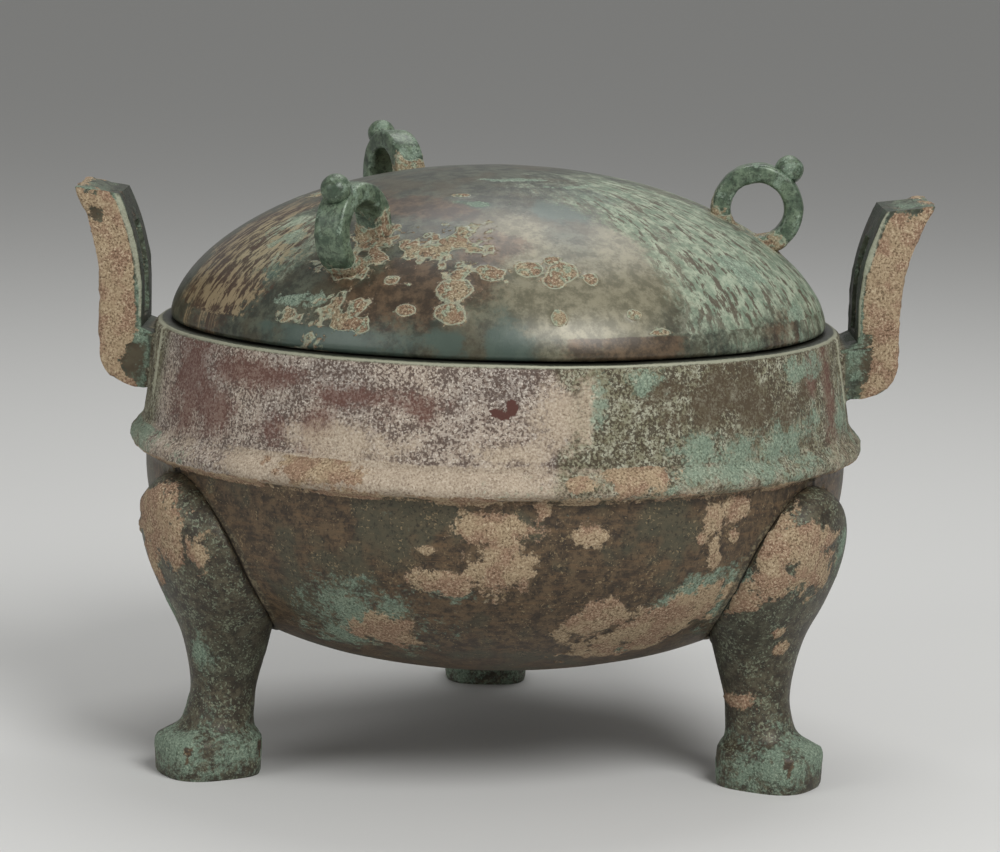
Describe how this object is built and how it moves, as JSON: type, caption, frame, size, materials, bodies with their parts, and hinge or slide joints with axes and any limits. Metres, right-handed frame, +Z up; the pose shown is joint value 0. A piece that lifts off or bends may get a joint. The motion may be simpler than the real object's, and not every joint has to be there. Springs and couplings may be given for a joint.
{
  "type": "covered bronze ding vessel",
  "caption": "Round bronze cauldron on three cabriole legs, with two upright pierced ears and a domed lid that lifts off by its ring handles.",
  "frame": {"origin": "on the ground under the axis of the round bowl", "axes": "+Z up along the bowl's axis, +X through the right-hand ear, -Y towards the front, +Y through the rear leg"},
  "size_m": [0.2357, 0.206, 0.1709],
  "materials": {
    "vessel_bronze": "cast bronze under tan, pale lilac and turquoise corrosion, matt",
    "lid_bronze": "cast bronze with a smooth dark green and brown patina and turquoise crusts, satin"
  },
  "bodies": {
    "root": {"vessel": "vessel_bronze", "lid": "lid_bronze"}
  },
  "joints": []
}
